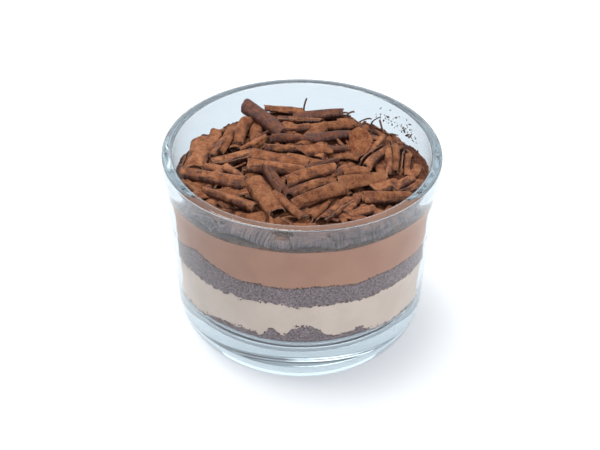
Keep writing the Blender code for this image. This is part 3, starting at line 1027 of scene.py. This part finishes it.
def grains(places, sizes, seed):
    """Points and faces of many uneven balls: each of a few rings, squashed by a random
    matrix and pushed in and out at random."""
    draw = np.random.default_rng(seed)
    count = len(places)
    climb = np.pi * np.arange(1, GRAIN_RINGS + 1) / (GRAIN_RINGS + 1)
    angle = 2 * np.pi * np.arange(GRAIN_COLUMNS) / GRAIN_COLUMNS
    ring = np.stack([np.outer(np.sin(climb), np.cos(angle)),
                     np.outer(np.sin(climb), np.sin(angle)),
                     np.outer(-np.cos(climb), np.ones(GRAIN_COLUMNS))], axis=-1).reshape(-1, 3)
    ball = np.concatenate([[(0.0, 0.0, -1.0)], ring, [(0.0, 0.0, 1.0)]])
    uneven = draw.uniform(0.7, 1.25, (count, len(ball), 1))
    squash = np.eye(3) + draw.uniform(-0.35, 0.35, (count, 3, 3))
    shape = np.einsum("nij,nkj->nki", squash, ball * uneven)
    points = places[:, None, :] + sizes[:, None, None] / 2 * shape
    first = (np.arange(count) * len(ball))[:, None, None]
    return points.reshape(-1, 3), [(faces[None] + first).reshape(-1, faces.shape[1])
                                   for faces in lathe_faces(GRAIN_RINGS, GRAIN_COLUMNS)]


def on_wall(angle, height, reach):
    """Places on the inside of the wall, reach into the glass."""
    radius = inside_radius(height, reach)
    return np.stack([radius * np.cos(angle), radius * np.sin(angle), height], axis=-1)


def crumbs_along(line, count, spread, seed):
    """Places of loose crumbs round the wall, scattered about the edge of a surface."""
    draw = np.random.default_rng(seed)
    angle = draw.uniform(0, 2 * np.pi, count)
    edge = on_wall(angle, np.full(count, CREAM_TOP), 0.0)
    height = line(edge) + spread * draw.standard_t(3, count)
    return on_wall(angle, height, -0.05 * MM)


draw = np.random.default_rng(71)
crumb_places = np.concatenate([crumbs_along(sponge_top, 800, 0.12 * MM, 72),
                               crumbs_along(cream_top, 420, 0.18 * MM, 73),
                               crumbs_along(crumb_top, 420, 0.20 * MM, 74)])
crumb_sizes = draw.uniform(0.25, 0.8, len(crumb_places)) * MM
crumb_points, crumb_faces = grains(crumb_places, crumb_sizes, 75)
make_piece("loose_crumbs", crumb_points, crumb_faces, BED)

SPECKS = 110
far_clump = draw.uniform(0, 1, SPECKS) < 0.3
speck_angle = np.radians(np.where(far_clump, draw.normal(47, 3, SPECKS),
                                  draw.normal(32, 5, SPECKS)))
speck_height = MOUSSE_TOP + 2.5 * MM + np.abs(draw.normal(0, 2.4, SPECKS)) * MM
speck_height = np.minimum(speck_height, CUP_HEIGHT - LIP_ROUND - 1.0 * MM)
speck_places = on_wall(speck_angle, speck_height, -0.10 * MM)
speck_points, speck_faces = grains(speck_places, draw.uniform(0.15, 0.6, SPECKS) * MM, 76)
make_piece("cocoa_specks", speck_points, speck_faces, BED)

# %% [markdown]
# ## Stage
# A pale floor that glows a little, a white tent, three soft boxes, and a camera that
# looks down on the cup at 36 degrees. None of this is part of the object.

# %% Floor, lights and camera


def build_floor():
    """White acrylic sheet over a light box, far larger than the view."""
    material, tree = new_material("glowing white acrylic")
    close_graph(tree, {"Base Color": linear("#F6F8FA"), "Roughness": 0.9,
                       "Emission Color": linear("#F2F8FF"), "Emission Strength": 0.36})
    corners = np.array([(-1, -1), (1, -1), (1, 1), (-1, 1)]) * 3.0
    mesh = bpy.data.meshes.new("floor")
    mesh.from_pydata([(x, y, -0.0001) for x, y in corners], [], [(0, 1, 2, 3)])
    mesh.materials.append(material)
    link_object("floor", mesh)


def build_light(name, place, width, height, power, colour):
    """Soft box aimed at the middle of the cup."""
    data = bpy.data.lights.new(name, "AREA")
    data.shape = "RECTANGLE"
    data.energy, data.size, data.size_y, data.color = power, width, height, colour
    lamp = link_object(name, data)
    lamp.location = place
    towards_cup = Vector((0, 0, CUP_HEIGHT / 2)) - lamp.location
    lamp.rotation_euler = towards_cup.to_track_quat("-Z", "Y").to_euler()


def build_world():
    """A white tent round the cup, cooler low down. The glass sees it whole, but its cloth
    gives the food only about half that light: the soft boxes light the food."""
    world = bpy.data.worlds.new("studio")
    world.use_nodes = True
    tree = world.node_tree
    tree.nodes.clear()
    up = add_node(tree, "ShaderNodeSeparateXYZ", {
        0: add_node(tree, "ShaderNodeTexCoord").outputs["Generated"]}).outputs["Z"]
    colour = blend_colours(tree, stretch(tree, up, 0.1, 0.35),
                           linear("#D2DDE0"), linear("#F6FAFF"))
    path = add_node(tree, "ShaderNodeLightPath")
    sky = add_node(tree, "ShaderNodeBackground", {
        "Color": colour, "Strength": between(tree, path.outputs["Is Diffuse Ray"], 0.85, 0.40)})
    add_node(tree, "ShaderNodeOutputWorld", {"Surface": sky.outputs[0]})
    bpy.context.scene.world = world


def build_camera():
    """Camera 0.43 m from the cup, level with 36 degrees above the table."""
    distance, elevation, roll = 0.430, 0.6266, 0.0146
    target = np.array([-0.0003, 0.0, 0.0343])
    data = bpy.data.cameras.new("camera")
    data.lens = 81.9
    data.sensor_width = 36.0
    data.clip_start = 0.01
    camera = link_object("camera", data)
    offset = distance * np.array([0, -np.cos(elevation), np.sin(elevation)])
    camera.location = target + offset
    camera.rotation_euler = (np.pi / 2 - elevation, 0.0, 0.0)
    camera.rotation_euler.rotate_axis("Z", roll)
    bpy.context.scene.camera = camera


build_floor()
build_world()
build_light("overhead", (-0.35, 0.15, 1.35), 0.8, 0.8, 12.0, (1.0, 0.97, 0.93))
build_light("front right", (1.5, -1.7, 0.75), 1.4, 0.9, 20.0, (1.0, 0.96, 0.92))
build_light("back", (0.0, 1.5, 0.62), 1.7, 0.45, 3.0, (0.96, 0.98, 1.0))
build_camera()
# Light guided in the wall is mirrored many times before it leaves.
bpy.context.scene.cycles.max_bounces = 40
bpy.context.scene.cycles.glossy_bounces = 32
bpy.context.scene.view_settings.view_transform = "Standard"
print("stage is set")
